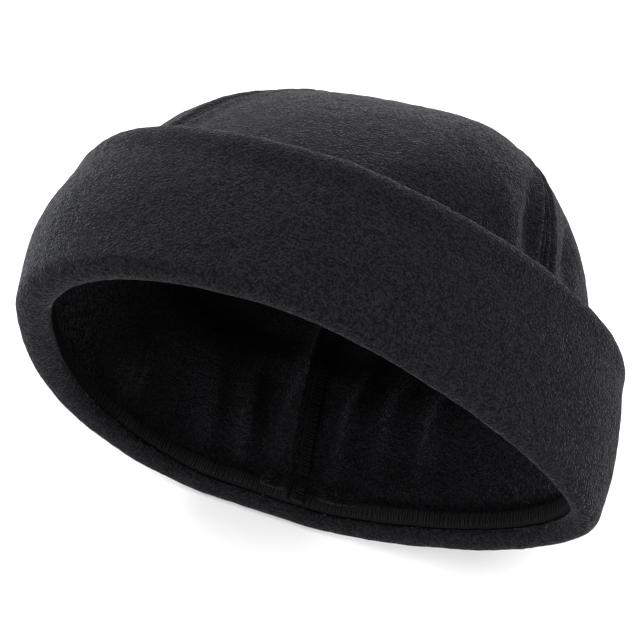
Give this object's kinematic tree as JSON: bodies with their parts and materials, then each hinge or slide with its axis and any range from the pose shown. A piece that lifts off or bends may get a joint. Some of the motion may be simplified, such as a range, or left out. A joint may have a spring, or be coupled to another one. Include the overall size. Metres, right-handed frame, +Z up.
{
  "type": "fleece beanie",
  "caption": "Soft fleece beanie with a deep turned-up cuff, a rounded seamed crown and an overlocked hem inside, lying on its back with the opening to one side",
  "frame": {"origin": "on the resting plane, under the middle of the bounding box", "axes": "+Z up with the hat lying on its back, front of the cuff on top; +Y from the opening to the crown's apex; +X to the right as seen from the opening"},
  "size_m": [0.2152, 0.1324, 0.1694],
  "materials": {
    "fleece": "pebbled anti-pill fleece, near-black charcoal, fully rough",
    "overlocked_edge": "fleece edges under close overlock stitches, black, rough"
  },
  "bodies": {
    "root": {"cuff": "fleece", "crown_front": "fleece", "crown_back_left": "fleece", "crown_back_right": "fleece", "hem_allowance": "overlocked_edge", "seam_allowance_back": "overlocked_edge", "seam_allowance_left": "overlocked_edge", "seam_allowance_right": "overlocked_edge"}
  },
  "joints": []
}
